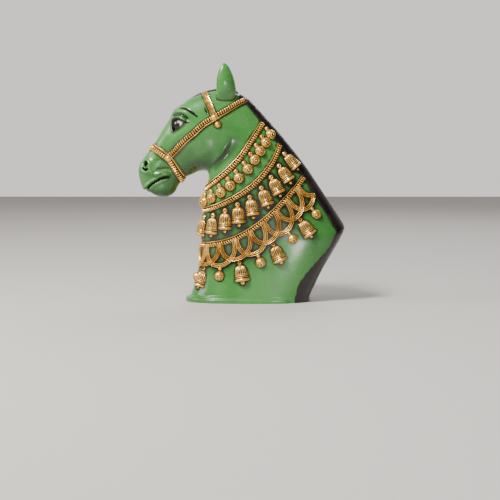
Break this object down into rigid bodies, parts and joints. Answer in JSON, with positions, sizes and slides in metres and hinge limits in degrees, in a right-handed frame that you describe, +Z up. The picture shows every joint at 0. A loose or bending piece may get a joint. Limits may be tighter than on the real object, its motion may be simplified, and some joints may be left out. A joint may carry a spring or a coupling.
{
  "type": "horse head figurine",
  "caption": "Horse head and neck figurine, one painted casting cut flat at the foot, with raised halter and bell necklaces; it stands on a shelf or table as an ornament.",
  "frame": {"origin": "centre of the figure's footprint box, on the flat underside it stands on", "axes": "+Z up through the ears; the horse looks along -X; +Y across, and the two sides mirror each other about the XZ plane"},
  "size_m": [0.2619, 0.0902, 0.3],
  "materials": {
    "green_paint": "hand-painted leaf green on cast resin under clear varnish, dark brown wash in the hollows",
    "gold_paint": "antique gold paint, bright on the high places and brown in the recesses",
    "black_paint": "brown-black paint under clear varnish",
    "white_paint": "off-white eye paint under clear varnish"
  },
  "bodies": {
    "root": {"horse_head": "green_paint"}
  },
  "joints": []
}
